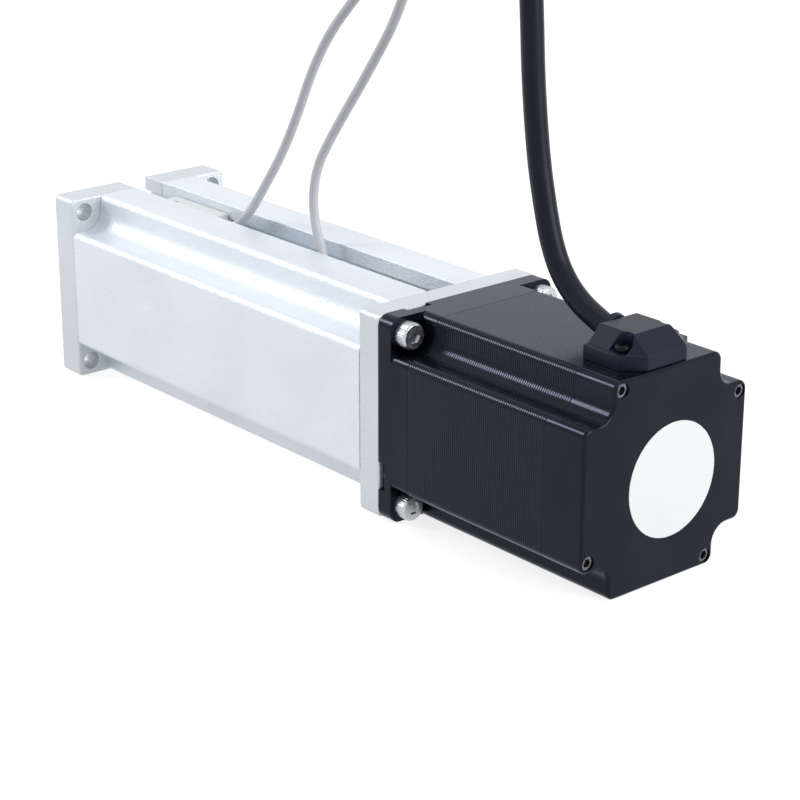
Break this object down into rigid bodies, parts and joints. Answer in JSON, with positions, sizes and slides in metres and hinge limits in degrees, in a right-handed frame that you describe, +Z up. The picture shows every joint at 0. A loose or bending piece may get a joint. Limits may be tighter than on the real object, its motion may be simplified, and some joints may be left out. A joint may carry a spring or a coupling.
{
  "type": "electric cylinder",
  "caption": "Electric cylinder: a stepping motor and ball screw push a rod out of a slotted square aluminium housing, with two position sensors in its slot.",
  "frame": {"origin": "centre of the front mounting face, on the rod's axis", "axes": "+X the way the rod moves out, +Z up out of the sensor slot, +Y to the left of someone looking the way the rod moves out"},
  "size_m": [0.2587, 0.0564, 0.1554],
  "materials": {
    "clear_anodised": "satin",
    "dark_coated": "satin",
    "lamination_steel": "satin",
    "plain_steel": "satin",
    "black_steel": "satin",
    "hard_chrome": "polished",
    "bronze": "satin",
    "copper_wire": "satin",
    "magnet_black": "matte",
    "guide_plastic": "matte",
    "seal_rubber": "matte",
    "bumper_rubber": "matte",
    "label_white": "gloss",
    "outlet_plastic": "matte",
    "sensor_plastic": "matte",
    "black_jacket": "satin",
    "grey_jacket": "satin",
    "core_insulation": "gloss"
  },
  "bodies": {
    "cylinder_body": {"front_flange": "clear_anodised", "housing_profile": "clear_anodised", "rear_plate": "clear_anodised", "front_flange_screws": "plain_steel", "rear_plate_screws": "plain_steel", "rod_bushing": "bronze", "wiper_seal": "seal_rubber", "front_bumper": "bumper_rubber", "rear_bumper": "bumper_rubber", "bearing_block": "clear_anodised", "screw_bearing_outer_rings": "plain_steel", "screw_bearing_seals": "seal_rubber", "motor_front_cap": "dark_coated", "stator_laminations": "lamination_steel", "stator_windings": "copper_wire", "motor_rear_cover": "dark_coated", "wave_washer": "plain_steel", "tie_screws": "plain_steel", "motor_screws": "plain_steel", "round_label": "label_white", "motor_bearing_outer_rings": "plain_steel", "motor_bearing_seals": "seal_rubber", "lead_outlet": "outlet_plastic", "outlet_screws": "black_steel", "cable_gland": "outlet_plastic", "motor_leads": "black_jacket", "motor_cable": "black_jacket", "motor_cable_cores": "core_insulation", "sensor_front": "sensor_plastic", "sensor_rear": "sensor_plastic", "sensor_screws": "plain_steel", "sensor_cable_front": "grey_jacket", "sensor_cable_rear": "grey_jacket", "sensor_cores_front": "core_insulation", "sensor_cores_rear": "core_insulation"},
    "drive_shaft": {"ball_screw": "plain_steel", "clamp_collar": "black_steel", "clamp_screw": "black_steel", "screw_bearing_inner_rings": "plain_steel", "motor_bearing_inner_rings": "plain_steel", "motor_shaft": "plain_steel", "rotor_cups": "lamination_steel", "rotor_magnet": "magnet_black"},
    "push_rod": {"rod_carriage": "clear_anodised", "magnet_ring": "magnet_black", "guide_rings": "guide_plastic", "guide_key": "guide_plastic", "ball_nut": "plain_steel", "nut_screws": "plain_steel", "piston_rod": "hard_chrome", "rod_end": "plain_steel", "jam_nut": "plain_steel"}
  },
  "joints": [
    {"name": "rod_slide", "type": "slide", "parent": "cylinder_body", "child": "push_rod", "axis": [1, 0, 0], "range_m": [0, 0.075]},
    {"name": "screw_spin", "type": "hinge", "parent": "cylinder_body", "child": "drive_shaft", "pos_m": [-0.15, 0, 0], "axis": [-1, 0, 0], "range_deg": [-1, 5401]}
  ],
  "couplings": [
    {"joint": "screw_spin", "follows": "rod_slide", "rad_per_m": 1256.6}
  ]
}
